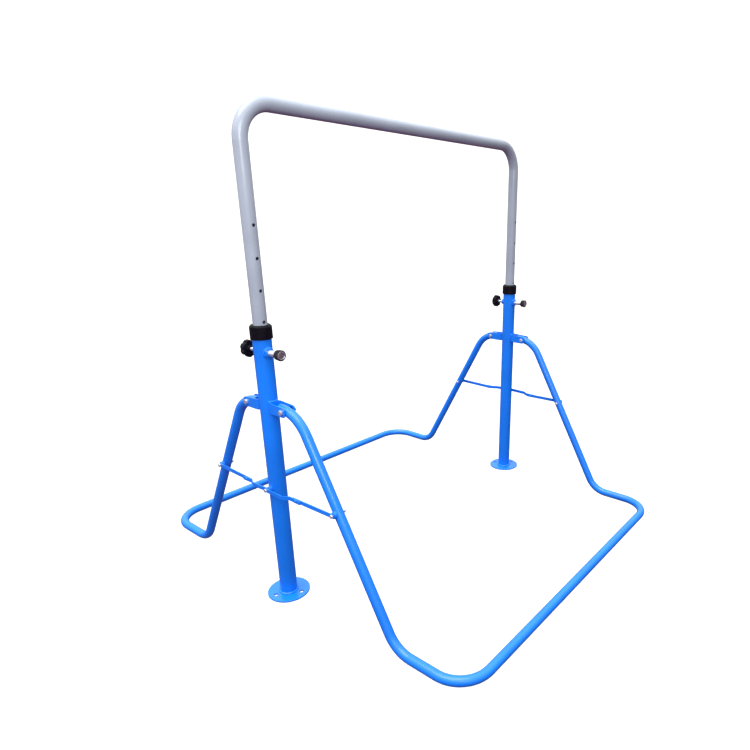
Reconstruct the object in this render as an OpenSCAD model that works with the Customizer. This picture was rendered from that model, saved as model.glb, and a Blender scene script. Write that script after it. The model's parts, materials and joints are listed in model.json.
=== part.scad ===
// Folding kip bar: a bent steel bar that slides in two posts, each post between two hinged base frames.
// Origin on the floor, midway between the posts. X runs along the bar, -Y is the side of the pull pins.
// Lengths in millimetres.

/* [Overall size] */
// Distance between the axes of the two posts
post_spacing = 1220; // [1000:10:1400]
// Height of the bar's axis, in the hole that the pins stand at
bar_height = 1377; // [1330:1:1440]
// Distance from the plane of the posts to the axis of each floor tube
base_reach = 702; // [670:1:800]

/* [Bar] */
// Outside diameter of the bar
bar_od = 38.1; // [32:0.1:42]
// Wall of the bar's tube
bar_wall = 1.5; // [1.2:0.1:3]
// Centreline radius of the bar's two bends
bar_bend = 90; // [70:5:140]
// Height of the bar's lower ends inside the posts
bar_end_height = 400; // [380:5:440]
// Spacing of the height holes
hole_pitch = 81.5; // [70:0.5:85]
// Diameter of the height holes
hole_d = 9; // [8.8:0.1:10]
// Holes above the one at the pins
holes_above = 4; // [2:1:5]
// Holes below the one at the pins
holes_below = 2; // [0:1:2]

/* [Posts] */
// Outside diameter of a post
post_od = 50.8; // [48:0.1:54]
// Wall of a post
post_wall = 2; // [1.5:0.1:2.5]
// Height of the top of the collar
collar_top = 841; // [825:1:850]
// Height of the collar
collar_h = 38; // [32:1:50]
// Outside diameter of the collar
collar_od = 59; // [57:0.5:64]
// Diameter of a base flange
flange_d = 127; // [114:1:140]
// Thickness of a base flange
flange_t = 5; // [4:0.5:8]
// Diameter of the circle through the flange's holes
flange_pcd = 88; // [84:1:96]
// Diameter of the flange's holes
flange_hole_d = 13; // [9:0.5:14]
// Turn of the left flange's holes about its post
left_flange_turn = 52; // [0:1:119]
// Turn of the right flange's holes about its post
right_flange_turn = 101; // [0:1:119]

/* [Hinge brackets] */
// Height of the hinge bolts
hinge_height = 613; // [590:1:640]
// Distance from the plane of the posts to a hinge bolt
hinge_reach = 80; // [72:1:90]
// Thickness of a bracket's plate
arm_t = 3; // [2.5:0.5:4]
// Height of a bracket at the post
arm_h = 31; // [27:1:34]
// Height of a bracket's arms at their tips
arm_tip_h = 27.5; // [24:0.5:30]
// Arm left beyond the hinge bolt
arm_end = 14; // [13:1:20]

/* [Base frames] */
// Outside diameter of a frame's tube
leg_od = 28.6; // [25:0.1:32]
// Wall of a frame's tube
leg_wall = 1.5; // [1.2:0.1:2.5]
// Centreline radius of the bend at the top of a leg
shoulder_bend = 110; // [90:5:120]
// Centreline radius of the bend at the foot of a leg
foot_bend = 85; // [60:5:90]
// Centreline radius of the bend at a corner on the floor
corner_bend = 98; // [60:2:120]
// Distance from the plane of the posts to where a leg meets the floor
foot_reach = 465; // [430:1:480]
// Distance from the plane of the posts to where a leg's straight run meets the hinge's level
shoulder_reach = 125; // [120:1:132]

/* [Braces] */
// Height of the braces' pivots
brace_height = 364; // [340:1:400]
// Distance from the plane of the posts to a brace's elbow
elbow_reach = 117; // [112:1:125]
// Drop of the elbow under the line between its pivots
elbow_sag = 3; // [1:0.5:5]
// Height of a link's flat bar
link_h = 12; // [11:0.5:16]
// Thickness of a link's flat bar
link_t = 3; // [2.5:0.5:3]

/* [Pull pins] */
// Height of the pull pins and of the clamp knobs
pin_height = 767; // [760:1:775]
// Diameter of a pin's nose
pin_d = 8; // [7:0.1:8.2]
// Diameter of a pull knob at its outer end
pull_knob_d = 30; // [28:1:36]
// Length of a pull knob
pull_knob_l = 17; // [16:1:24]

/* [Clamp knobs] */
// Diameter over the lobes of a clamp knob
star_d = 49; // [44:1:56]
// Lobes on a clamp knob
star_lobes = 7; // [5:1:9]
// Diameter of a clamp knob's stud
stud_d = 10; // [8:1:12]

/* [Hidden] */
$fn = 64;
post_x = post_spacing / 2;
post_r = post_od / 2;
bar_r = bar_od / 2;
leg_r = leg_od / 2;
slide_gap = 0.3;     // between the bar and what guides it
fit_gap = 0.08;      // radial clearance on the pivots
side_gap = 0.4;      // between plates that turn past each other
bend_neck = 0.1;     // a bend's wall is this much thinner on each side
bend_lap = 1;        // length of a straight run over the end of a bend
cut = 1;             // how far a cut runs past a face

// Posts and collars
post_top = collar_top - 8;
collar_sleeve = 30;                     // length of collar inside the post
guide_l = 22;                           // length of the guide on the bar's lower end
guide_lip = 4;

// Hinge brackets
arm_gap = leg_od + 2;                   // clear width between the arms
arm_half = arm_gap / 2 + arm_t;
arm_below = 14;                         // arm below the hinge bolt
arm_corner = 9;
arm_bend = 3;                           // inside radius of the bends between the arms and the back
bracket_weld = 12;                      // half the width of the weld to the post
hinge_bolt_d = 8;
sleeve_d = 12;
washer_d = 20;
washer_t = 0.8;

// A leg's tube is nearly level at the hinge, and its centreline starts a little above the bolt
shoulder_height = hinge_height + 1.3;
leg_start = hinge_reach - 26;
leg_plug_t = 1.5;                       // disc that closes the end of the tube
leg_angle = atan2(foot_reach - shoulder_reach, shoulder_height - leg_r);

// Braces. Distances "out" are outward along X from the plane of a post and its legs.
lug_reach = shoulder_reach + (shoulder_height - brace_height) * tan(leg_angle);
lug_d = 18;
brace_bolt_d = 6;
lug_out = leg_r + 5.8;
outer_link_out = lug_out + side_gap;
inner_link_tip_out = outer_link_out + link_t + side_gap;
boss_d = 16;
boss_out = post_r + 8;
back_link_out = boss_out + side_gap;
front_link_out = back_link_out + link_t + side_gap;
link_lap = 20;                          // length of a link past the elbow's rivet
joggle = [72, 90];                      // where an inner link steps in toward the leg
elbow_height = brace_height - elbow_sag;

// Pull pins, measured outward from the post's axis, with the nose drawn just clear of the bar
nose_clear = 0.35;
pin_boss_out = post_r + 6;
barrel_in = post_r + 1;
barrel_out = 65;
barrel_d = 16;
barrel_bore = 12;
barrel_end_t = 4;
shoulder_in = 34;
shoulder_t = 3;
pin_rod_d = 5;
pull_knob_in = barrel_out - 1;
pull_knob_back = pull_knob_d / 2 - 1.2;  // radius at the inner end
pull_recess = 9;
pull_rod_end = pull_knob_l - 4;
pull_cap_d = 24;
spring_in = 38.9;
spring_d = 8.6;
spring_wire = 1.2;
spring_turns = 7;
grip_grooves = 20;

// Clamp knobs, measured outward from the post's axis
clamp_nut_out = post_r + 9;
star_in = 57;
star_t = 17;
star_hub_l = 3;
stud_end = star_in + 9;

blue = "#1b78f0";
deep_blue = "#2159d2";
tube_grey = "#aab0c2";
black = "#16121c";
chrome = "#d5d8de";

LEFT = -1;
RIGHT = 1;
FRONT = -1;
BACK = 1;
SIDES = [["left", LEFT], ["right", RIGHT]];
ENDS = [["front", FRONT], ["back", BACK]];

SIDE_NODES = [
    "post", "base_flange", "collar", "brace_boss", "pin_boss", "clamp_nut", "pin_barrel", "pin_spring",
    "bar_guide", "pin", "pull_knob", "pull_knob_cap", "clamp_knob", "clamp_stud",
];
END_NODES = ["frame_tube", "hinge_sleeves", "hinge_washers", "brace_lugs", "lug_bolts"];
CORNER_NODES = ["hinge_bracket", "inner_link", "outer_link", "elbow_rivet"];

// ---- Shared shapes ----

function unit(v) = v / norm(v);
function bend_turn(a, b, c) = acos(unit(b - a) * unit(c - b));
function bend_trim(a, b, c, r) = r * tan(bend_turn(a, b, c) / 2);
function side_axis(d) = abs(d.z) < 0.9 ? unit(cross([0, 0, 1], d)) : unit(cross([0, 1, 0], d));

// Puts local x, y and z along three unit vectors, at a point
module frame_at(p, ex, ey, ez) {
    multmatrix([
        [ex.x, ey.x, ez.x, p.x],
        [ex.y, ey.y, ez.y, p.y],
        [ex.z, ey.z, ez.z, p.z],
        [0, 0, 0, 1],
    ]) children();
}

module rod(a, b, r) {
    d = unit(b - a);
    s = side_axis(d);
    frame_at(a, s, cross(d, s), d) cylinder(r = r, h = norm(b - a));
}

// One bend of a round tube at the corner b of the path a-b-c
module tube_bend(a, b, c, bend, od, wall) {
    u = unit(a - b);
    w = unit(c - b);
    turn = bend_turn(a, b, c);
    centre = b + unit(u + w) * bend / cos(turn / 2);
    ex = unit(b + u * bend_trim(a, b, c, bend) - centre);
    frame_at(centre, ex, -u, cross(ex, -u))
        rotate_extrude(angle = turn) translate([bend, 0]) difference() {
            circle(d = od - 2 * bend_neck);
            circle(d = od - 2 * wall + 2 * bend_neck);
        }
}

// A round tube along a path, with a bend radius at each inner point. The bends neck down a little,
// and each straight run laps over them.
module bent_tube(path, bends, od, wall) {
    last = len(path) - 1;
    trims = [for (i = [0:last])
        i == 0 || i == last ? 0 : bend_trim(path[i - 1], path[i], path[i + 1], bends[i]) - bend_lap];
    for (i = [0:last - 1]) {
        d = unit(path[i + 1] - path[i]);
        a = path[i] + d * trims[i];
        b = path[i + 1] - d * trims[i + 1];
        difference() {
            rod(a, b, od / 2);
            rod(a - d, b + d, od / 2 - wall);
        }
    }
    for (i = [1:last - 1]) tube_bend(path[i - 1], path[i], path[i + 1], bends[i], od, wall);
}

// Turns what is drawn along +Z to point away from a post along Y
module outward_y(side, end, z) {
    translate([side * post_x, 0, z]) rotate([-90 * end, 0, 0]) children();
}

// Draws one corner of the stand from a copy where +X is outward and +Y is away from the plane of the posts
module corner_of_stand(side, end) {
    translate([side * post_x, 0, 0])
        mirror_if(side < 0, [1, 0, 0]) mirror_if(end < 0, [0, 1, 0]) children();
}

module mirror_if(wanted, axis) {
    if (wanted) mirror(axis) children();
    else children();
}

module pin_x(from, to, d) {
    translate([from, 0, 0]) rotate([0, 90, 0]) cylinder(d = d, h = to - from);
}

// Hexagon along +Z, with its top corners chamfered
module hex(across_flats, h) {
    intersection() {
        cylinder(d = across_flats / cos(30), h = h, $fn = 6);
        cylinder(d1 = across_flats * 1.2 + 2 * h, d2 = across_flats * 0.96, h = h);
    }
}

// Round wire wound along +Z: a ring of points round the wire at each step along the helix
module coil(d, wire, turns, length) {
    steps = 14;
    sides = 8;
    last = steps * turns;
    slope = atan2(length / turns, PI * d);
    points = [for (i = [0:last], j = [0:sides - 1])
        let (
            a = 360 * i / steps,
            b = 360 * j / sides,
            out = [cos(a), sin(a), 0],
            along = [-sin(a) * cos(slope), cos(a) * cos(slope), sin(slope)]
        )
        out * d / 2 + [0, 0, length * i / last] + (out * cos(b) + cross(out, along) * sin(b)) * wire / 2];
    skin = [for (i = [0:last - 1], j = [0:sides - 1])
        let (k = (j + 1) % sides)
        [i * sides + j, i * sides + k, (i + 1) * sides + k, (i + 1) * sides + j]];
    first_end = [for (j = [sides - 1:-1:0]) j];
    last_end = [for (j = [0:sides - 1]) last * sides + j];
    polyhedron(points, concat([first_end], skin, [last_end]));
}

// ---- Posts ----

module post(side) {
    color(blue) difference() {
        translate([side * post_x, 0, flange_t]) cylinder(d = post_od, h = post_top - flange_t);
        translate([side * post_x, 0, flange_t - cut])
            cylinder(d = post_od - 2 * post_wall, h = post_top);
        outward_y(side, FRONT, pin_height) cylinder(d = pin_d + 2 * slide_gap, h = post_od);
        outward_y(side, BACK, pin_height) cylinder(d = stud_d + 2 * slide_gap, h = post_od);
    }
}

module base_flange(side) {
    turn = side < 0 ? left_flange_turn : right_flange_turn;
    edge = 1;
    color(blue) translate([side * post_x, 0, 0]) difference() {
        rotate_extrude() polygon([
            [0, 0], [flange_d / 2, 0], [flange_d / 2, flange_t - edge], [flange_d / 2 - edge, flange_t],
            [0, flange_t],
        ]);
        for (a = [0, 120, 240]) rotate(turn + a)
            translate([flange_pcd / 2, 0, -cut]) cylinder(d = flange_hole_d, h = flange_t + 2 * cut);
    }
}

// The collar caps the post, and its sleeve inside the post guides the bar
module collar(side) {
    bore = bar_r + slide_gap;
    sleeve_r = post_r - post_wall;
    seat = post_top - collar_top;
    rim = collar_od / 2;
    color(black) translate([side * post_x, 0, collar_top]) rotate_extrude() polygon([
        [bore, seat - collar_sleeve], [sleeve_r, seat - collar_sleeve], [sleeve_r, seat],
        [post_r, seat], [post_r, -collar_h], [rim - 1, -collar_h], [rim, 1 - collar_h],
        [rim, -5], [rim - 4, 0], [bore + 3, 0], [bore, -3],
    ]);
}

// Side view of an arm, whose top edge slopes down from the post to a rounded tip
module arm_outline() {
    length = hinge_reach + arm_end;
    slope = atan2(arm_h - arm_tip_h, length - post_r);
    y = length - arm_corner;
    z = arm_h - (y - post_r) * tan(slope) - arm_corner / cos(slope);
    polygon([
        [0, 0], [y, 0], [length, arm_corner], [length, z],
        [y + arm_corner * sin(slope), z + arm_corner * cos(slope)], [post_r, arm_h], [0, arm_h],
    ]);
    for (centre = [arm_corner, z]) translate([y, centre]) circle(r = arm_corner);
}

// Plan of a channel's outer or inner face, from its back outward
module channel_plan(half, start, r) {
    translate([-half, start + r]) square([2 * half, hinge_reach]);
    translate([r - half, start]) square([2 * (half - r), r + 1]);
    for (x = [-1, 1]) translate([x * (half - r), start + r]) circle(r = r);
}

// A plate bent to a channel. Its weld fills the space between its flat back and the round post.
module hinge_bracket(side, end) {
    color(blue) corner_of_stand(side, end) translate([0, 0, hinge_height - arm_below]) difference() {
        intersection() {
            linear_extrude(arm_h) union() {
                difference() {
                    channel_plan(arm_half, post_r, arm_bend + arm_t);
                    channel_plan(arm_gap / 2, post_r + arm_t, arm_bend);
                }
                translate([-bracket_weld, post_r / 2]) square([2 * bracket_weld, post_r / 2 + 1]);
            }
            translate([-arm_half, 0, 0])
                rotate([90, 0, 90]) linear_extrude(2 * arm_half) arm_outline();
        }
        translate([0, 0, -cut]) cylinder(r = post_r, h = arm_h + 2 * cut);
        translate([0, hinge_reach, arm_below]) pin_x(-arm_gap, arm_gap, hinge_bolt_d);
    }
}

module at_hinges(x) {
    for (s = SIDES) for (e = ENDS)
        translate([s[1] * post_x + x, e[1] * hinge_reach, hinge_height]) children();
}

// Every hinge bolt goes in from the left
module hinge_bolts() {
    color(chrome) at_hinges(-arm_half) {
        rotate([0, -90, 0]) hex(13, 5.3);
        pin_x(-cut, 2 * arm_half + 9, hinge_bolt_d);
    }
}

module hinge_nuts() {
    color(chrome) at_hinges(arm_half) difference() {
        rotate([0, 90, 0]) hex(13, 7);
        pin_x(-cut, 7 + cut, hinge_bolt_d);
    }
}

module brace_boss(side) {
    color(blue) translate([0, 0, brace_height]) corner_of_stand(side, BACK) difference() {
        pin_x(post_r - 4, boss_out, boss_d);
        translate([0, 0, -boss_d]) cylinder(r = post_r, h = 2 * boss_d);
        pin_x(0, boss_out + cut, brace_bolt_d);
    }
}

module brace_centre_bolts() {
    head_out = front_link_out + link_t + side_gap;
    color(chrome) for (s = SIDES)
        translate([0, 0, brace_height]) corner_of_stand(s[1], BACK) {
            pin_x(post_r + 1, head_out + 1, brace_bolt_d);
            translate([head_out, 0, 0]) rotate([0, 90, 0]) hex(10, 4.5);
        }
}

// ---- Pull pins ----

module pin_boss(side) {
    color(blue) difference() {
        outward_y(side, FRONT, pin_height) rotate(30) translate([0, 0, post_r - 4])
            hex(25, pin_boss_out - post_r + 4);
        translate([side * post_x, 0, pin_height - post_r]) cylinder(r = post_r, h = post_od);
        outward_y(side, FRONT, pin_height) cylinder(d = barrel_d, h = barrel_out);
    }
}

module pin_barrel(side) {
    end_hole = pin_rod_d + 2 * slide_gap;
    color(chrome) outward_y(side, FRONT, pin_height) rotate_extrude() polygon([
        [barrel_bore / 2, barrel_in], [barrel_d / 2, barrel_in], [barrel_d / 2, barrel_out - 1],
        [barrel_d / 2 - 1, barrel_out], [end_hole / 2, barrel_out],
        [end_hole / 2, barrel_out - barrel_end_t], [barrel_bore / 2, barrel_out - barrel_end_t],
    ]);
}

// Drawn as it is when the pin is fully pulled, between the pin's shoulder and the barrel's end
module pin_spring(side) {
    length = barrel_out - barrel_end_t - spring_in;
    color(chrome) outward_y(side, FRONT, pin_height) translate([0, 0, spring_in + spring_wire / 2])
        coil(spring_d, spring_wire, spring_turns, length - spring_wire);
}

module pin(side) {
    nose = bar_r + nose_clear;
    shoulder_r = barrel_bore / 2 - slide_gap;
    color(chrome) outward_y(side, FRONT, pin_height) rotate_extrude() polygon([
        [0, nose], [pin_d / 2 - 1, nose], [pin_d / 2, nose + 1.5], [pin_d / 2, shoulder_in],
        [shoulder_r, shoulder_in], [shoulder_r, shoulder_in + shoulder_t],
        [pin_rod_d / 2, shoulder_in + shoulder_t], [pin_rod_d / 2, pull_knob_in + pull_rod_end],
        [0, pull_knob_in + pull_rod_end],
    ]);
}

module pull_knob(side) {
    r = pull_knob_d / 2;
    taper = atan2(r - pull_knob_back, pull_knob_l);
    color(black) outward_y(side, FRONT, pin_height) translate([0, 0, pull_knob_in]) difference() {
        rotate_extrude() polygon([
            [barrel_d / 2 + 0.4, 0], [pull_knob_back - 1, 0], [pull_knob_back, 1], [r, pull_knob_l - 1.5],
            [r - 1.5, pull_knob_l], [pull_cap_d / 2, pull_knob_l], [pull_cap_d / 2, pull_knob_l - 2.5],
            [0, pull_knob_l - 2.5], [0, pull_rod_end], [pin_rod_d / 2, pull_rod_end],
            [pin_rod_d / 2, pull_recess], [barrel_d / 2 + 0.4, pull_recess],
        ]);
        for (i = [0:grip_grooves - 1]) rotate(i * 360 / grip_grooves)
            translate([pull_knob_back + 0.6, 0, 2]) rotate([0, taper, 0])
            cylinder(d = 2.6, h = pull_knob_l - 5, $fn = 24);
    }
}

module pull_knob_cap(side) {
    r = pull_cap_d / 2 - 0.1;
    seat = pull_knob_in + pull_knob_l - 2.5;
    color("#b9b6bf") outward_y(side, FRONT, pin_height) translate([0, 0, seat]) rotate_extrude()
        polygon([[0, 0], [r, 0], [r, 2.4], [r - 2, 3], [r - 3, 2.2], [0, 2.2]]);
}

// ---- Clamp knobs ----

module clamp_nut(side) {
    color(blue) difference() {
        outward_y(side, BACK, pin_height) translate([0, 0, post_r - 3]) hex(19, clamp_nut_out - post_r + 3);
        translate([side * post_x, 0, pin_height - post_r]) cylinder(r = post_r, h = post_od);
        outward_y(side, BACK, pin_height) cylinder(d = stud_d + 2 * fit_gap, h = star_in);
    }
}

module clamp_stud(side) {
    tip = bar_r + nose_clear;
    color(chrome) outward_y(side, BACK, pin_height) rotate_extrude() polygon([
        [0, tip], [stud_d / 2 - 1, tip], [stud_d / 2, tip + 1], [stud_d / 2, stud_end], [0, stud_end],
    ]);
}

module clamp_knob(side) {
    r = star_d / 2;
    color(black) outward_y(side, BACK, pin_height) difference() {
        translate([0, 0, star_in]) rotate_extrude() polygon([
            [0, -star_hub_l], [8, -star_hub_l], [10, 0], [r - 2, 0], [r, 2], [r, star_t - 3],
            [r - 3, star_t], [0, star_t],
        ]);
        for (i = [0:star_lobes - 1]) rotate((i + 0.5) * 360 / star_lobes)
            translate([r + 3.2, 0, star_in - cut]) cylinder(d = 14, h = star_t + 2 * cut);
        cylinder(d = stud_d, h = stud_end);
    }
}

// ---- Bar ----

module bar() {
    low = bar_end_height;
    path = [
        [-post_x, 0, low], [-post_x, 0, bar_height], [post_x, 0, bar_height], [post_x, 0, low],
    ];
    color(tube_grey) difference() {
        bent_tube(path, [0, bar_bend, bar_bend, 0], bar_od, bar_wall);
        for (s = SIDES) for (i = [-holes_below:holes_above])
            outward_y(s[1], FRONT, pin_height + i * hole_pitch) cylinder(d = hole_d, h = post_od);
    }
}

module bar_guide(side) {
    r = post_r - post_wall - slide_gap;
    color(black) translate([side * post_x, 0, bar_end_height]) rotate_extrude() polygon([
        [bar_r - 4, -guide_lip], [r - 1, -guide_lip], [r, 1 - guide_lip], [r, guide_l],
        [bar_r, guide_l], [bar_r, 0], [bar_r - 4, 0],
    ]);
}

// ---- Base frames ----

// One leg of a frame's path, from the hinge to the floor corner
function leg_path(x, end) = [
    [x, end * leg_start, shoulder_height],
    [x, end * shoulder_reach, shoulder_height],
    [x, end * foot_reach, leg_r],
    [x, end * base_reach, leg_r],
];

module frame_tube(end) {
    right_leg = leg_path(post_x, end);
    path = concat(leg_path(-post_x, end), [for (i = [3:-1:0]) right_leg[i]]);
    bends = [0, shoulder_bend, foot_bend, corner_bend, corner_bend, foot_bend, shoulder_bend, 0];
    color(blue) difference() {
        union() {
            bent_tube(path, bends, leg_od, leg_wall);
            for (s = SIDES) corner_of_stand(s[1], end)
                translate([0, leg_start + 0.5, shoulder_height])
                rotate([-90, 0, 0]) cylinder(r = leg_r - leg_wall / 2, h = leg_plug_t);
        }
        for (s = SIDES) corner_of_stand(s[1], end) {
            translate([0, hinge_reach, hinge_height]) pin_x(-leg_od, leg_od, sleeve_d);
            translate([0, lug_reach, brace_height]) pin_x(-leg_od, leg_od, brace_bolt_d);
        }
    }
}

module at_frame_hinges(end) {
    for (s = SIDES) corner_of_stand(s[1], end) translate([0, hinge_reach, hinge_height]) children();
}

module hinge_sleeves(end) {
    color(chrome) at_frame_hinges(end) difference() {
        pin_x(-leg_r, leg_r, sleeve_d);
        pin_x(-leg_od, leg_od, hinge_bolt_d + 2 * fit_gap);
    }
}

module hinge_washers(end) {
    color(black) at_frame_hinges(end) difference() {
        for (x = [-leg_r - washer_t, leg_r]) pin_x(x, x + washer_t, washer_d);
        pin_x(-leg_od, leg_od, hinge_bolt_d + 2 * fit_gap);
    }
}

module at_lugs(end) {
    for (s = SIDES) corner_of_stand(s[1], end) translate([0, lug_reach, brace_height]) children();
}

module brace_lugs(end) {
    color(blue) at_lugs(end) difference() {
        pin_x(leg_r / 2, lug_out, lug_d);
        rotate([leg_angle, 0, 0]) translate([0, 0, -lug_d * 2]) cylinder(r = leg_r, h = lug_d * 4);
        pin_x(0, lug_out + cut, brace_bolt_d);
    }
}

module lug_bolts(end) {
    head_out = outer_link_out + link_t + side_gap;
    color(chrome) at_lugs(end) {
        pin_x(-leg_r - 8, head_out + 1, brace_bolt_d);
        translate([head_out, 0, 0]) rotate([0, 90, 0]) hex(10, 4.5);
        translate([-leg_r, 0, 0]) rotate([0, -90, 0]) hex(10, 6);
    }
}

// ---- Braces ----

// Side view of a flat link, with rounded corners, from before y = 0 to after the length
module link_outline(before, length, after) {
    corner = link_h / 3;
    for (y = [corner - before, length + after - corner]) for (z = [-1, 1])
        translate([y, z * (link_h / 2 - corner)]) circle(r = corner);
    translate([corner - before, -link_h / 2]) square([length + before + after - 2 * corner, link_h]);
    translate([-before, corner - link_h / 2])
        square([length + before + after, link_h - 2 * corner]);
}

// A flat bar on edge that steps from one distance out to another between two points of its length
module link(before, length, after, out_a, out_b, step, hole_a, hole_b) {
    difference() {
        intersection() {
            rotate([90, 0, 90]) linear_extrude(post_od) link_outline(before, length, after);
            translate([0, 0, -link_h]) linear_extrude(2 * link_h) polygon([
                [out_a, -before], [out_a + link_t, -before], [out_a + link_t, step[0]],
                [out_b + link_t, step[1]], [out_b + link_t, length + after], [out_b, length + after],
                [out_b, step[1]], [out_a, step[0]],
            ]);
        }
        pin_x(0, post_od, hole_a);
        translate([0, length, 0]) pin_x(0, post_od, hole_b);
    }
}

module inner_link(side, end) {
    out_a = end < 0 ? front_link_out : back_link_out;
    color(deep_blue) corner_of_stand(side, end) translate([0, 0, brace_height])
        rotate([-atan2(elbow_sag, elbow_reach), 0, 0])
        link(link_h / 2, norm([elbow_reach, elbow_sag]), link_lap, out_a, inner_link_tip_out, joggle,
            brace_bolt_d + 2 * fit_gap, brace_bolt_d);
}

module outer_link(side, end) {
    run = lug_reach - elbow_reach;
    pivot = brace_bolt_d + 2 * fit_gap;
    color(deep_blue) corner_of_stand(side, end) translate([0, elbow_reach, elbow_height])
        rotate([atan2(elbow_sag, run), 0, 0])
        link(link_lap, norm([run, elbow_sag]), link_h / 2, outer_link_out, outer_link_out, [0, 1],
            pivot, pivot);
}

// The rivet is carried by the inner link and stops at its inside face
module elbow_rivet(side, end) {
    head_in = inner_link_tip_out + link_t;
    color(deep_blue) corner_of_stand(side, end) translate([0, elbow_reach, elbow_height])
        rotate([0, 90, 0]) rotate_extrude() polygon([
            [0, inner_link_tip_out], [brace_bolt_d / 2, inner_link_tip_out], [brace_bolt_d / 2, head_in],
            [5.2, head_in], [5.2, head_in + 0.8], [3.4, head_in + 2.4], [0, head_in + 2.8],
        ]);
}

// ---- Nodes ----

bar();
hinge_bolts();
hinge_nuts();
brace_centre_bolts();
for (s = SIDES) {
    post(s[1]);
    base_flange(s[1]);
    collar(s[1]);
    brace_boss(s[1]);
    pin_boss(s[1]);
    clamp_nut(s[1]);
    pin_barrel(s[1]);
    pin_spring(s[1]);
    bar_guide(s[1]);
    pin(s[1]);
    pull_knob(s[1]);
    pull_knob_cap(s[1]);
    clamp_knob(s[1]);
    clamp_stud(s[1]);
}
for (e = ENDS) {
    frame_tube(e[1]);
    hinge_sleeves(e[1]);
    hinge_washers(e[1]);
    brace_lugs(e[1]);
    lug_bolts(e[1]);
}
for (s = SIDES) for (e = ENDS) {
    at = str(s[0], "_", e[0], "_");
    hinge_bracket(s[1], e[1]);
    inner_link(s[1], e[1]);
    outer_link(s[1], e[1]);
    elbow_rivet(s[1], e[1]);
}
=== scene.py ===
import json
import math
import random

import bmesh
import bpy
from mathutils import Matrix, Vector, noise


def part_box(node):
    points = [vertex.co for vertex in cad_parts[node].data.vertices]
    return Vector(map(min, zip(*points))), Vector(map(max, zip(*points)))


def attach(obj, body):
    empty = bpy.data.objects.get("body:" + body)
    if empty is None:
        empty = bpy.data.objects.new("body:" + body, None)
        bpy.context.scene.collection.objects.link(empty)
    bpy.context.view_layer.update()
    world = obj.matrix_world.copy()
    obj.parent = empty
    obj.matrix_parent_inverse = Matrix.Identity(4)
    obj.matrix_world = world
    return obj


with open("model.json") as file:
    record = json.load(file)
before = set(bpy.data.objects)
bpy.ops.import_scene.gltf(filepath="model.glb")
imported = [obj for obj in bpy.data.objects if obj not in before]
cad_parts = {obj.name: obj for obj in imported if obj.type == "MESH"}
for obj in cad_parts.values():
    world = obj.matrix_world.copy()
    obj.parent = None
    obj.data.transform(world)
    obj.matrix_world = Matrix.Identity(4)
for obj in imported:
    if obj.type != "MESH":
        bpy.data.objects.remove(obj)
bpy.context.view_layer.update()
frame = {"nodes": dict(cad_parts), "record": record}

RECORD = frame["record"]
NODES = frame["nodes"]
SIDES = {"left": -1, "right": 1}
ENDS = {"front": -1, "back": 1}
MM = 0.001

# The camera's place and direction, and its lens, which is shifted by a share of the picture's side
CAMERA_AT = (-1.4951, -1.3558, 1.1240)
AZIMUTH, ELEVATION, ROLL = -53.146, 19.214, 0.585
SENSOR_MM = 36
LENS_MM = 27.50304
SHIFT = (-0.1224, 0.0518667)

# The world's strength as a light, by its open side and its flagged side, and as the backdrop that shows
SKY_STRENGTH = 1.42
SKY_FLAGGED = 0.7
FLAG_SIDE = (0.6, -0.8, 0)
BACKDROP = 1.3
# What the world sends up from below, as the floor itself sends no light to the object
FLOOR_LIGHT = (0.12, 0.04, 0.085)
FLOOR_HALF = 60
# How far the floor hides what is folded below it
FLOOR_COVER = 0.12


# ---- What the frame says ----

def box_centre(node):
    low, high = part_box(node)
    return (low + high) / 2


def box_size(node):
    low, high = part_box(node)
    return high - low


POST_X = box_centre("right_post").x
POST_R = box_size("right_post").x / 2
FLANGE_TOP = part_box("right_base_flange")[1].z
BRACKET_LOW, BRACKET_HIGH = (c.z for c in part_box("right_back_hinge_bracket"))
BRACKET_WELD = 12 * MM
BOSS_ACROSS = box_size("right_pin_boss").x
CLAMP_NUT_ACROSS = box_size("right_clamp_nut").z
PIN_HEIGHT = box_centre("right_pin").z
BRACE_HEIGHT = box_centre("right_brace_boss").z
BRACE_BOSS_R = box_size("right_brace_boss").z / 2
LEG_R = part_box("back_frame_tube")[1].x - POST_X
LUG_CENTRE = box_centre("back_brace_lugs")
LUG_R = box_size("back_brace_lugs").z / 2
LEG_SLOPE = math.radians(29.5)
HINGE = Vector((0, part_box("hinge_nuts")[1].y - box_size("hinge_nuts").z / 2, box_centre("hinge_nuts").z))
NUT_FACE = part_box("hinge_nuts")[1].x - POST_X
HINGE_BOLT_R = 4 * MM
BARREL_R = box_size("right_pin_barrel").x / 2
STUD_R = box_size("right_clamp_stud").x / 2
ELBOW_RIVET = box_centre("right_back_elbow_rivet")
LINK_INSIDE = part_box("right_back_outer_link")[0].x


# ---- Node trees ----

def set_range(node, *limits):
    """A Map Range node's limits: from low, from high, to low, to high."""
    for key, value in zip(("From Min", "From Max", "To Min", "To Max"), limits):
        node.inputs[key].default_value = value


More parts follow.
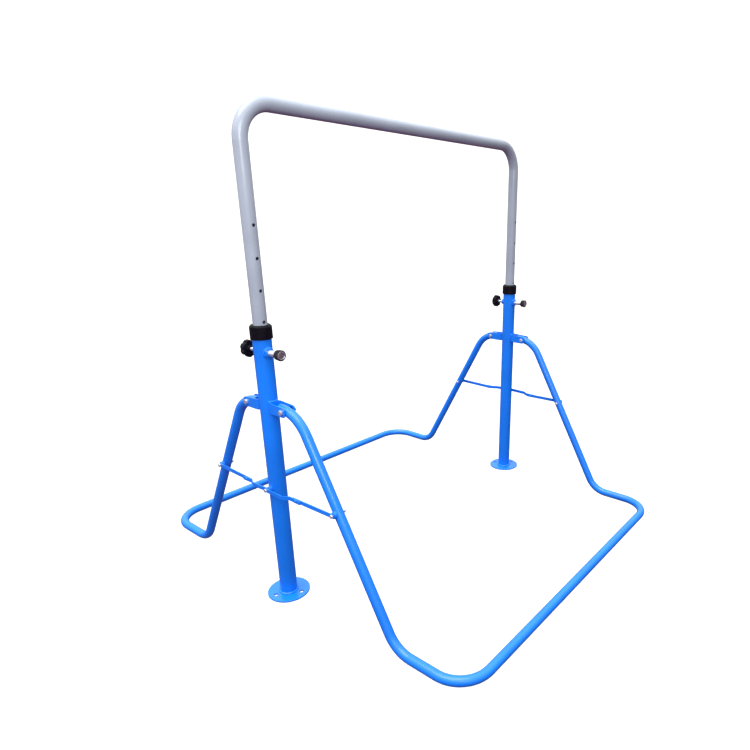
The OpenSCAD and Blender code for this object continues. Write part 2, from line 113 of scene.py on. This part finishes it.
class Shader:
    """A Principled material whose textures use the object's own coordinates, in metres."""

    def __init__(self, name, metallic=0.0, specular=0.5):
        self.material = bpy.data.materials.new(name)
        self.material.use_nodes = True
        self.tree = self.material.node_tree
        self.bsdf = self.tree.nodes["Principled BSDF"]
        self.bsdf.inputs["Metallic"].default_value = metallic
        self.bsdf.inputs["Specular IOR Level"].default_value = specular
        self.place = self.add("ShaderNodeTexCoord").outputs["Object"]

    def add(self, kind, **settings):
        node = self.tree.nodes.new(kind)
        for key, value in settings.items():
            setattr(node, key, value)
        return node

    def link(self, source, node, socket):
        self.tree.links.new(source, node.inputs[socket])

    def noise(self, scale, detail=2.0, stretch=None):
        node = self.add("ShaderNodeTexNoise")
        node.inputs["Scale"].default_value = scale
        node.inputs["Detail"].default_value = detail
        place = self.place
        if stretch:
            mapping = self.add("ShaderNodeMapping")
            mapping.inputs["Scale"].default_value = stretch
            self.link(place, mapping, "Vector")
            place = mapping.outputs["Vector"]
        self.link(place, node, "Vector")
        return node.outputs["Fac"]

    def span(self, source, low, high, to_low, to_high):
        node = self.add("ShaderNodeMapRange")
        set_range(node, low, high, to_low, to_high)
        self.link(source, node, "Value")
        return node.outputs["Result"]

    def blend(self, factor, a, b):
        """Colour a where the factor is 0 and b where it is 1. Each is a colour or a socket."""
        node = self.add("ShaderNodeMix", data_type="RGBA")
        self.link(factor, node, 0)
        for socket, value in ((6, a), (7, b)):
            if isinstance(value, tuple):
                node.inputs[socket].default_value = (*value, 1)
            else:
                self.link(value, node, socket)
        return node.outputs[2]

    def colour(self, source):
        self.link(source, self.bsdf, "Base Color")

    def roughness(self, source):
        self.link(source, self.bsdf, "Roughness")

    def bumps(self, layers, edge=0.0):
        """Stacks bump layers of (height socket, distance in metres, strength) on a softened edge."""
        normal = None
        if edge:
            bevel = self.add("ShaderNodeBevel", samples=4)
            bevel.inputs["Radius"].default_value = edge
            normal = bevel.outputs["Normal"]
        for height, distance, strength in layers:
            bump = self.add("ShaderNodeBump")
            bump.inputs["Distance"].default_value = distance
            bump.inputs["Strength"].default_value = strength
            self.link(height, bump, "Height")
            if normal:
                self.link(normal, bump, "Normal")
            normal = bump.outputs["Normal"]
        self.link(normal, self.bsdf, "Normal")


def shade(colour, factor):
    return tuple(c * factor for c in colour)


def paint(name, colour, rough, coat, peel):
    """Powder coat: orange peel, a little mottling, dulled patches and faint scuffs along the tubes."""
    s = Shader(name, specular=0.4)
    s.bsdf.inputs["Coat Weight"].default_value = coat
    s.bsdf.inputs["Coat Roughness"].default_value = 0.08
    mottle = s.span(s.noise(7, 3), 0.35, 0.65, 0, 1)
    body = s.blend(mottle, shade(colour, 0.93), shade(colour, 1.06))
    specks = s.span(s.noise(1400, 1), 0.70, 0.78, 0, 0.5)
    body = s.blend(specks, body, tuple(0.5 * c + 0.5 * 0.45 for c in colour))
    scuff = s.span(s.noise(60, 6, (1, 1, 0.12)), 0.66, 0.76, 0, 0.22)
    s.colour(s.blend(scuff, body, tuple(0.6 * c + 0.4 * 0.5 for c in colour)))
    s.roughness(s.span(s.noise(24, 4), 0.3, 0.7, rough - 0.05, rough + 0.07))
    s.bumps([(s.noise(420, 2), 0.00012, peel), (s.noise(2600, 2), 0.00002, 0.25)], edge=0.0007)
    return s.material


def plastic(name, colour, rough, grain):
    """Moulded plastic: a fine spark-eroded grain, slightly greyed where it is handled."""
    s = Shader(name, specular=0.10)
    worn = s.span(s.noise(90, 5), 0.5, 0.72, 0, 0.55)
    s.colour(s.blend(worn, colour, tuple(c * 1.5 + 0.004 for c in colour)))
    s.roughness(s.span(s.noise(40, 3), 0.3, 0.7, rough - 0.07, rough + 0.1))
    s.bumps([(s.noise(2200, 3), 0.00008, grain), (s.noise(320, 2), 0.0001, 0.12)], edge=0.0008)
    return s.material


def plated(name, colour, rough, stretch):
    """Zinc-plated steel: fine drawn lines, cloudy patches and a few dull spots."""
    s = Shader(name, metallic=0.72)
    cloud = s.span(s.noise(160, 4), 0.35, 0.7, 0, 1)
    body = s.blend(cloud, shade(colour, 1.0), shade(colour, 0.8))
    spots = s.span(s.noise(500, 3), 0.66, 0.76, 0, 0.5)
    s.colour(s.blend(spots, body, (0.22, 0.18, 0.15)))
    s.roughness(s.span(s.noise(300, 3), 0.3, 0.7, rough - 0.06, rough + 0.14))
    s.bumps([(s.noise(700, 3, stretch), 0.00006, 0.3)], edge=0.0005)
    return s.material


def turned(name, side, colour):
    """A lathe-turned end face: rings about the pull knob's axis, with scratches and scuffed patches."""
    s = Shader(name, metallic=1.0)
    shift = s.add("ShaderNodeMapping")
    shift.inputs["Location"].default_value = (-side * POST_X, 0, -PIN_HEIGHT)
    s.link(s.place, shift, "Vector")
    rings = s.add("ShaderNodeTexWave", wave_type="RINGS", rings_direction="Y")
    rings.inputs["Scale"].default_value = 700
    rings.inputs["Distortion"].default_value = 1.5
    s.link(shift.outputs["Vector"], rings, "Vector")
    scuffed = s.span(s.noise(260, 6), 0.44, 0.62, 0, 1)
    body = s.blend(scuffed, colour, shade(colour, 0.45))
    scratched = s.span(s.noise(900, 4, (1, 1, 0.35)), 0.62, 0.7, 0, 0.5)
    s.colour(s.blend(scratched, body, (0.09, 0.08, 0.09)))
    s.roughness(s.span(s.noise(200, 4), 0.3, 0.7, 0.3, 0.55))
    s.bumps([(rings.outputs["Fac"], 0.00006, 0.5), (s.noise(260, 6), 0.0002, 0.35)], edge=0.0005)
    return s.material


BLUE = (0.003, 0.178, 0.82)
GREY = (0.315, 0.36, 0.435)
BLACK = (0.0035, 0.0025, 0.006)
ZINC = (0.80, 0.81, 0.84)
STEEL = (0.62, 0.60, 0.64)

MATERIALS = {
    "blue_paint": paint("blue_powder_coat", BLUE, 0.32, 0.2, 0.35),
    "grey_paint": paint("grey_powder_coat", GREY, 0.34, 0.35, 0.22),
    "black_plastic": plastic("black_moulding", BLACK, 0.42, 0.35),
    "bright_zinc": plated("bright_zinc_plate", ZINC, 0.24, (1, 0.15, 1)),
    "bare_steel": plated("bare_steel", STEEL, 0.34, (0.2, 1, 1)),
}
# A lighter copy of the black plastic for the pull knobs: painted light, its raised base colour stands in for
# the highlights on their knurls.
LIT_GRIP_BLACK = plastic("lit_grip_moulding", (0.020, 0.016, 0.026), 0.38, 0.6)
TURNED = {side: turned(f"{side}_turned_steel", s, (0.60, 0.57, 0.62)) for side, s in SIDES.items()}


def dress_cad_nodes():
    for part in RECORD["subparts"]:
        node = NODES[part["node"]]
        for slot in node.material_slots:
            slot.material = MATERIALS[part["material_slot"]]
    for side in SIDES:
        for slot in NODES[f"{side}_pull_knob_cap"].material_slots:
            slot.material = TURNED[side]
        # The pull knobs get the lightened black, which is painted light.
        for slot in NODES[f"{side}_pull_knob"].material_slots:
            slot.material = LIT_GRIP_BLACK


# ---- Mesh building ----

def add_piece(name, points, faces, slot, body, material=None, sharp=math.radians(40)):
    mesh = bpy.data.meshes.new(name)
    mesh.from_pydata([tuple(p) for p in points], [], faces)
    shape = bmesh.new()
    shape.from_mesh(mesh)
    bmesh.ops.recalc_face_normals(shape, faces=shape.faces)
    shape.to_mesh(mesh)
    shape.free()
    mesh.materials.append(material or MATERIALS[slot])
    mesh.shade_smooth()
    mesh.set_sharp_from_angle(angle=sharp)
    piece = bpy.data.objects.new(name, mesh)
    bpy.context.scene.collection.objects.link(piece)
    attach(piece, body)
    return piece


def skin(rings, closed):
    """Faces between rings of points, which join up at the ends or are capped."""
    count, sides = len(rings), len(rings[0])
    points = [p for ring in rings for p in ring]
    faces = []
    for i in range(count if closed else count - 1):
        for j in range(sides):
            k = (j + 1) % sides
            n = (i + 1) % count
            faces.append([i * sides + j, i * sides + k, n * sides + k, n * sides + j])
    if not closed:
        faces.append(list(range(sides - 1, -1, -1)))
        faces.append([(count - 1) * sides + j for j in range(sides)])
    return points, faces


WELD_STEP = 0.8 * MM

# Each bead's radius and the length of its ripples
FOOT_BEAD = (3.6 * MM, 3.6 * MM)
BRACKET_BEAD = (2.9 * MM, 3.0 * MM)
BOSS_BEAD = (3.2 * MM, 3.4 * MM)
CLAMP_NUT_BEAD = (2.2 * MM, 3.4 * MM)
BRACE_BOSS_BEAD = (1.9 * MM, 2.2 * MM)
LUG_BEAD = (1.7 * MM, 2.2 * MM)


def bead(path, size, closed, seed, ripple=0.09, sides=12):
    """A weld bead along a path: overlapping ripples, with a slightly uneven width."""
    radius, pitch = size
    drift = random.Random(seed).uniform(0, 100)
    count = len(path)
    rings = []
    travelled = 0.0
    guide = None
    for i, p in enumerate(path):
        before = path[i - 1] if closed or i else path[0]
        after = path[(i + 1) % count] if closed or i < count - 1 else path[-1]
        along = (after - before).normalized()
        if i:
            travelled += (p - path[i - 1]).length
        wave = math.sqrt(1 - (travelled / pitch) % 1.0)
        wander = noise.noise(Vector((travelled * 90 + drift, drift, 0)))
        r = radius * (0.92 + ripple * wave + 0.2 * wander)
        if not closed:
            from_end = min(i, count - 1 - i) / 4
            r *= min(1.0, 0.35 + 0.65 * math.sqrt(from_end))
        guide = (guide - along * guide.dot(along)).normalized() if guide else along.orthogonal().normalized()
        other = along.cross(guide)
        rings.append([p + (guide * math.cos(a) + other * math.sin(a)) * r
                      for a in (2 * math.pi * j / sides for j in range(sides))])
    return skin(rings, closed)


def resample(corners, step):
    """Points about a step apart along straight runs between the corners."""
    points = []
    for a, b in zip(corners, corners[1:]):
        n = max(1, round((b - a).length / step))
        points += [a.lerp(b, i / n) for i in range(n)]
    return points + [corners[-1]]


def post_surface(side, x, end):
    """The place on a post's front or back wall that is x to the right of its axis, at the floor's height."""
    return Vector((side * POST_X + x, end * math.sqrt(max(0, POST_R ** 2 - x ** 2)), 0))


def foot_weld(side):
    r = POST_R + 1.1 * MM
    n = round(2 * math.pi * r / WELD_STEP)
    path = [Vector((side * POST_X + r * math.cos(a), r * math.sin(a), FLANGE_TOP + 0.9 * MM))
            for a in (2 * math.pi * i / n for i in range(n))]
    return bead(path, FOOT_BEAD, True, f"foot{side}")


def hex_weld(side, end, across_flats, size):
    """Round the hexagonal nut on a post's front or back, where it meets the tube, with rounded corners."""
    n = round(math.pi * across_flats * 1.1 / WELD_STEP)
    corner = 0 if end > 0 else math.pi / 6
    path = []
    for i in range(n):
        a = 2 * math.pi * i / n
        flat = ((a - corner) % (math.pi / 3)) - math.pi / 6
        reach = across_flats / 2 * (1.02 + 0.5 * (1 / math.cos(flat) - 1)) + 0.3 * MM
        wall = post_surface(side, reach * math.cos(a), end)
        path.append(wall + Vector((0, end * 0.5 * MM, PIN_HEIGHT + reach * math.sin(a))))
    return bead(path, size, True, f"hex{side}{end}", ripple=0.05)


def bracket_weld(side, end):
    """Up one side of a bracket's back, across the top where it meets the post, and down the other side."""
    out = BRACKET_WELD + 1.2 * MM
    across = [post_surface(side, out * t / 8, end) for t in range(-8, 9)]
    over = [p + Vector((0, end * 0.8 * MM, BRACKET_HIGH + 0.6 * MM)) for p in across]
    low = [Vector((p.x, p.y, BRACKET_LOW + 1.5 * MM)) for p in (over[0], over[-1])]
    path = resample([low[0], *over, low[1]], WELD_STEP)
    return bead(path, BRACKET_BEAD, False, f"bracket{side}{end}")


def brace_boss_weld(side):
    r = BRACE_BOSS_R + 0.2 * MM
    n = round(2 * math.pi * r / WELD_STEP)
    path = []
    for i in range(n):
        a = 2 * math.pi * i / n
        y = r * math.cos(a)
        x = side * (POST_X + math.sqrt(POST_R ** 2 - y ** 2) + 0.3 * MM)
        path.append(Vector((x, y, BRACE_HEIGHT + r * math.sin(a))))
    return bead(path, BRACE_BOSS_BEAD, True, f"boss{side}")


def lug_weld(side, end):
    """Round a brace lug, on the outer face of a sloping leg."""
    r = LUG_R + 0.2 * MM
    n = round(2 * math.pi * r / WELD_STEP)
    centre_y = end * LUG_CENTRE.y
    along = Vector((0, end * math.sin(LEG_SLOPE), -math.cos(LEG_SLOPE)))
    path = []
    for i in range(n):
        a = 2 * math.pi * i / n
        offset = Vector((0, r * math.cos(a), r * math.sin(a)))
        across = (offset - along * offset.dot(along)).length
        x = side * (POST_X + math.sqrt(max(0, LEG_R ** 2 - across ** 2)) + 0.3 * MM)
        path.append(Vector((x, centre_y + offset.y, LUG_CENTRE.z + offset.z)))
    return bead(path, LUG_BEAD, True, f"lug{side}{end}")


def add_welds():
    for side, s in SIDES.items():
        add_piece(f"{side}_foot_weld", *foot_weld(s), "blue_paint", "posts")
        add_piece(f"{side}_pin_boss_weld", *hex_weld(s, ENDS["front"], BOSS_ACROSS, BOSS_BEAD),
                  "blue_paint", "posts")
        add_piece(f"{side}_clamp_nut_weld", *hex_weld(s, ENDS["back"], CLAMP_NUT_ACROSS, CLAMP_NUT_BEAD),
                  "blue_paint", "posts")
        add_piece(f"{side}_brace_boss_weld", *brace_boss_weld(s), "blue_paint", "posts")
        for end, e in ENDS.items():
            add_piece(f"{side}_{end}_bracket_weld", *bracket_weld(s, e), "blue_paint", "posts")
            add_piece(f"{side}_{end}_lug_weld", *lug_weld(s, e), "blue_paint", f"{end}_frame")


# ---- Threads, lock nuts and rivet tails ----

THREAD_PITCH = 1.5 * MM


def thread(side, near, far, radius, ridge=0.25 * MM, sunk=0.1 * MM, steps=32):
    """The ridge of a rolled thread, wound round a stud that stands out from a post at the pin's height."""
    count = round(abs(far - near) / THREAD_PITCH * steps)
    rings = []
    for i in range(count + 1):
        a = 2 * math.pi * i / steps
        rise = ridge * min(1.0, i / steps + 0.05, (count - i) / steps + 0.05)
        out = Vector((math.cos(a), 0, math.sin(a)))
        root = Vector((side * POST_X, near + (far - near) * i / count, PIN_HEIGHT)) + out * (radius - sunk)
        crest = root + out * (rise + sunk)
        foot, flat = Vector((0, 0.4 * THREAD_PITCH, 0)), Vector((0, 0.1 * THREAD_PITCH, 0))
        rings.append([root - foot, crest - flat, crest + flat, root + foot])
    return skin(rings, False)


def turned_ring(centre, profile, sides=48):
    """A ring about an axis along X, from its outline of (distance along X, radius)."""
    rings = []
    for i in range(sides):
        a = 2 * math.pi * i / sides
        rings.append([centre + Vector((x, r * math.cos(a), r * math.sin(a))) for x, r in profile])
    return skin(rings, True)


def rounded(reach, corner, hole, depth, steps=6):
    """A low collar's outline: a rounded outer corner, and a foot sunk a little into what it sits on."""
    arc = [(depth - corner + corner * math.sin(a), reach - corner + corner * math.cos(a))
           for a in (math.pi / 2 * i / steps for i in range(steps + 1))]
    return [(-0.2 * MM, hole), (-0.2 * MM, reach), *arc, (depth, hole)]


LOCK_COLLAR = rounded(5.9 * MM, 1.2 * MM, HINGE_BOLT_R, 1.5 * MM)
RIVET_TAIL = rounded(5.2 * MM, 1.4 * MM, 0.6 * MM, 1.8 * MM)


def add_fittings():
    for side, s in SIDES.items():
        boss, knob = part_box(f"{side}_pin_boss")[0].y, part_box(f"{side}_pull_knob")[1].y
        add_piece(f"{side}_barrel_thread", *thread(s, boss - 1 * MM, knob + 2 * MM, BARREL_R),
                  "bright_zinc", "posts")
        nut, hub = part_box(f"{side}_clamp_nut")[1].y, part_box(f"{side}_clamp_knob")[0].y
        add_piece(f"{side}_stud_thread", *thread(s, nut + 1 * MM, hub - 1 * MM, STUD_R),
                  "bright_zinc", f"{side}_clamp")
        for end, e in ENDS.items():
            nut_at = Vector((s * POST_X + NUT_FACE, e * HINGE.y, HINGE.z))
            add_piece(f"{side}_{end}_lock_collar", *turned_ring(nut_at, LOCK_COLLAR), "bright_zinc", "posts")
            tail = [(-s * x, r) for x, r in RIVET_TAIL]
            tail_at = Vector((s * LINK_INSIDE, e * ELBOW_RIVET.y, ELBOW_RIVET.z))
            add_piece(f"{side}_{end}_rivet_tail", *turned_ring(tail_at, tail), "blue_paint",
                      f"{side}_{end}_outer")


# ---- Light, floor and camera ----

def add_camera():
    data = bpy.data.cameras.new("camera")
    data.sensor_width = SENSOR_MM
    data.lens = LENS_MM
    data.shift_x, data.shift_y = SHIFT
    data.clip_start = 0.01
    camera = bpy.data.objects.new("camera", data)
    bpy.context.scene.collection.objects.link(camera)
    a, e, roll = map(math.radians, (AZIMUTH, ELEVATION, ROLL))
    back = Vector((math.sin(a) * math.cos(e), -math.cos(a) * math.cos(e), math.sin(e)))
    right = (-back).cross(Vector((0, 0, 1))).normalized()
    up = back.cross(right)
    turned_right = right * math.cos(roll) + up * math.sin(roll)
    turned_up = up * math.cos(roll) - right * math.sin(roll)
    camera.matrix_world = Matrix.Translation(CAMERA_AT) @ Matrix(
        (turned_right, turned_up, back)).transposed().to_4x4()
    bpy.context.scene.camera = camera


def add_world():
    """A white backdrop, whose light is brighter overhead, darker on one side and plum from below."""
    world = bpy.data.worlds.new("studio")
    world.use_nodes = True
    tree = world.node_tree
    sky = tree.nodes["Background"]
    place = tree.nodes.new("ShaderNodeTexCoord")
    split = tree.nodes.new("ShaderNodeSeparateXYZ")
    height = tree.nodes.new("ShaderNodeMapRange")
    set_range(height, -1, 1, 0, 1)
    ramp = tree.nodes.new("ShaderNodeValToRGB")
    low, high = ramp.color_ramp.elements
    low.position, low.color = 0.44, (*FLOOR_LIGHT, 1)
    high.position, high.color = 1.0, (1.55, 1.55, 1.55, 1)
    for z, level in ((0.0, 0.54), (0.3, 0.64)):
        ramp.color_ramp.elements.new((z + 1) / 2).color = (level, level, level, 1)
    tree.links.new(place.outputs["Generated"], split.inputs[0])
    tree.links.new(split.outputs["Z"], height.inputs["Value"])
    tree.links.new(height.outputs["Result"], ramp.inputs["Fac"])
    tree.links.new(ramp.outputs["Color"], sky.inputs["Color"])
    side = tree.nodes.new("ShaderNodeVectorMath")
    side.operation = "DOT_PRODUCT"
    side.inputs[1].default_value = FLAG_SIDE
    flag = tree.nodes.new("ShaderNodeMapRange")
    set_range(flag, 0.55, 0.95, SKY_STRENGTH, SKY_FLAGGED)
    tree.links.new(place.outputs["Generated"], side.inputs[0])
    tree.links.new(side.outputs["Value"], flag.inputs["Value"])
    tree.links.new(flag.outputs["Result"], sky.inputs["Strength"])
    cove = tree.nodes.new("ShaderNodeBackground")
    cove.inputs["Color"].default_value = (1, 1, 1, 1)
    cove.inputs["Strength"].default_value = BACKDROP
    seen = tree.nodes.new("ShaderNodeLightPath")
    either = tree.nodes.new("ShaderNodeMixShader")
    tree.links.new(seen.outputs["Is Camera Ray"], either.inputs["Fac"])
    tree.links.new(sky.outputs[0], either.inputs[1])
    tree.links.new(cove.outputs[0], either.inputs[2])
    tree.links.new(either.outputs[0], tree.nodes["World Output"].inputs["Surface"])
    bpy.context.scene.world = world


def add_lamp(name, strength, angle, tilt):
    light = bpy.data.lights.new(name, "SUN")
    light.energy = strength
    light.angle = math.radians(angle)
    lamp = bpy.data.objects.new(name, light)
    bpy.context.scene.collection.objects.link(lamp)
    lamp.rotation_euler = [math.radians(t) for t in tilt]


def add_softbox(name, power, size, spread, at, aim):
    light = bpy.data.lights.new(name, "AREA")
    light.energy = power
    light.size = size
    light.spread = math.radians(spread)
    lamp = bpy.data.objects.new(name, light)
    bpy.context.scene.collection.objects.link(lamp)
    lamp.location = at
    lamp.rotation_euler = (Vector(aim) - Vector(at)).to_track_quat("-Z", "Y").to_euler()


def add_floor():
    mesh = bpy.data.meshes.new("floor")
    corners = [(x * FLOOR_HALF, y * FLOOR_HALF, 0) for x, y in ((-1, -1), (1, -1), (1, 1), (-1, 1))]
    mesh.from_pydata(corners, [], [(0, 1, 2, 3)])
    floor = bpy.data.objects.new("floor", mesh)
    floor.location.z = -0.5 * MM
    bpy.context.scene.collection.objects.link(floor)
    s = Shader("pale_floor", specular=0.05)
    s.colour(s.blend(s.noise(3, 2), (0.86, 0.86, 0.865), (0.90, 0.90, 0.90)))
    s.roughness(s.span(s.noise(10, 2), 0, 1, 0.85, 0.95))
    s.bsdf.inputs["Alpha"].default_value = FLOOR_COVER
    mesh.materials.append(s.material)
    floor.visible_diffuse = False
    floor.visible_glossy = False


bpy.context.scene.view_settings.view_transform = "Standard"
add_camera()
add_world()
add_lamp("overhead_panel", strength=2.5, angle=50, tilt=(-6, -14, 0))
add_softbox("side_panel", power=6.5, size=1.4, spread=56, at=(-1.9, -1.9, 2.0), aim=(-0.45, 0, 1.2))
add_floor()
dress_cad_nodes()
add_welds()
add_fittings()
